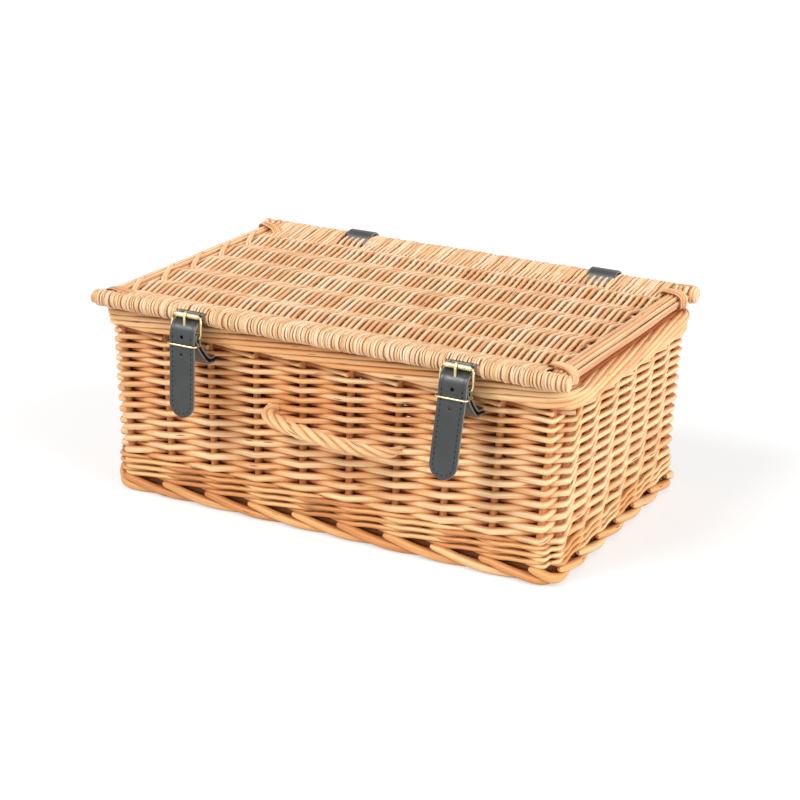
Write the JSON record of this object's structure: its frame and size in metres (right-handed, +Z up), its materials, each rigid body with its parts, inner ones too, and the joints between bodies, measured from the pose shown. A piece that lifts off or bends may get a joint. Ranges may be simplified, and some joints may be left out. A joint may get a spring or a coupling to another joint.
{
  "type": "wicker hamper",
  "caption": "Rectangular willow wicker hamper with a hinged woven lid, leather buckle straps, leather hinge loops and a twisted rope handle on the front.",
  "frame": {"origin": "middle of the underside, on the surface that the hamper stands on", "axes": "+X to the right along the length, -Y to the front with the straps and handle, +Z up"},
  "size_m": [0.468, 0.333, 0.1934],
  "materials": {
    "willow": "stripped honey-coloured willow rods with a satin varnish",
    "leather": "charcoal finished leather with stitched edges",
    "brass": "pale polished brass-plated wire"
  },
  "bodies": {
    "basket": {"foot_border_front": "willow", "foot_border_rear": "willow", "foot_border_left": "willow", "foot_border_right": "willow", "wale_front": "willow", "wale_rear": "willow", "wale_left": "willow", "wale_right": "willow", "siding_front": "willow", "siding_rear": "willow", "siding_left": "willow", "siding_right": "willow", "top_border_front": "willow", "top_border_rear": "willow", "top_border_left": "willow", "top_border_right": "willow", "corner_post_front_left": "willow", "corner_post_rear_left": "willow", "corner_post_front_right": "willow", "corner_post_rear_right": "willow", "base_panel": "willow", "base_stick_1": "willow", "base_stick_2": "willow", "base_stick_3": "willow", "base_stick_4": "willow", "base_stick_5": "willow", "hinge_loop_left": "leather", "hinge_loop_right": "leather", "buckle_strap_left": "leather", "buckle_strap_right": "leather", "anchor_peg_left": "willow", "anchor_peg_right": "willow"},
    "lid": {"lid_panel": "willow", "lid_rail_front": "willow", "lid_rail_rear": "willow", "lid_side_left": "willow", "lid_side_right": "willow", "corner_binding_front_left": "willow", "corner_binding_rear_left": "willow", "corner_binding_front_right": "willow", "corner_binding_rear_right": "willow", "lid_stick_1": "willow", "lid_stick_2": "willow", "lid_stick_3": "willow", "lid_stick_4": "willow", "lid_stick_5": "willow"},
    "strap_left": {"lid_strap_left": "leather"},
    "buckle_left": {"buckle_frame_left": "brass"},
    "prong_left": {"buckle_prong_left": "brass"},
    "roller_left": {"buckle_roller_left": "brass"},
    "keeper_left": {"strap_keeper_left": "brass"},
    "strap_right": {"lid_strap_right": "leather"},
    "buckle_right": {"buckle_frame_right": "brass"},
    "prong_right": {"buckle_prong_right": "brass"},
    "roller_right": {"buckle_roller_right": "brass"},
    "keeper_right": {"strap_keeper_right": "brass"},
    "handle": {"rope_handle": "willow"}
  },
  "joints": [
    {"name": "lid_hinge", "type": "hinge", "parent": "basket", "child": "lid", "pos_m": [0, 0.142, 0.1823], "axis": [-1, 0, 0], "range_deg": [0, 215], "deforming": ["lid_strap_left", "lid_strap_right"]},
    {"name": "strap_left_swing", "type": "hinge", "parent": "lid", "child": "strap_left", "pos_m": [-0.123, -0.142, 0.1823], "axis": [1, 0, 0], "range_deg": [0, 88]},
    {"name": "buckle_left_swing", "type": "hinge", "parent": "basket", "child": "buckle_left", "pos_m": [-0.123, -0.15698, 0.16706], "axis": [1, 0, 0], "range_deg": [0, 55]},
    {"name": "prong_left_swing", "type": "hinge", "parent": "buckle_left", "child": "prong_left", "pos_m": [-0.123, -0.15698, 0.16706], "axis": [1, 0, 0], "range_deg": [0, 55]},
    {"name": "roller_left_spin", "type": "hinge", "parent": "buckle_left", "child": "roller_left", "pos_m": [-0.123, -0.1555, 0.1855], "axis": [1, 0, 0], "continuous": true},
    {"name": "keeper_left_tilt", "type": "hinge", "parent": "basket", "child": "keeper_left", "pos_m": [-0.123, -0.15556, 0.16124], "axis": [-1, 0, 0], "range_deg": [0, 15]},
    {"name": "strap_right_swing", "type": "hinge", "parent": "lid", "child": "strap_right", "pos_m": [0.1385, -0.142, 0.1823], "axis": [1, 0, 0], "range_deg": [0, 88]},
    {"name": "buckle_right_swing", "type": "hinge", "parent": "basket", "child": "buckle_right", "pos_m": [0.1385, -0.15698, 0.16706], "axis": [1, 0, 0], "range_deg": [0, 55]},
    {"name": "prong_right_swing", "type": "hinge", "parent": "buckle_right", "child": "prong_right", "pos_m": [0.1385, -0.15698, 0.16706], "axis": [1, 0, 0], "range_deg": [0, 55]},
    {"name": "roller_right_spin", "type": "hinge", "parent": "buckle_right", "child": "roller_right", "pos_m": [0.1385, -0.1555, 0.1855], "axis": [1, 0, 0], "continuous": true},
    {"name": "keeper_right_tilt", "type": "hinge", "parent": "basket", "child": "keeper_right", "pos_m": [0.1385, -0.15556, 0.16124], "axis": [-1, 0, 0], "range_deg": [0, 15]},
    {"name": "handle_swing", "type": "hinge", "parent": "basket", "child": "handle", "pos_m": [0.011, -0.12771, 0.099], "axis": [-0.9956, 0, 0.0941], "range_deg": [-20, 20]}
  ],
  "couplings": [
    {"joint": "strap_left_swing", "follows": "lid_hinge", "ratio": 0.409},
    {"joint": "strap_right_swing", "follows": "lid_hinge", "ratio": 0.409}
  ]
}
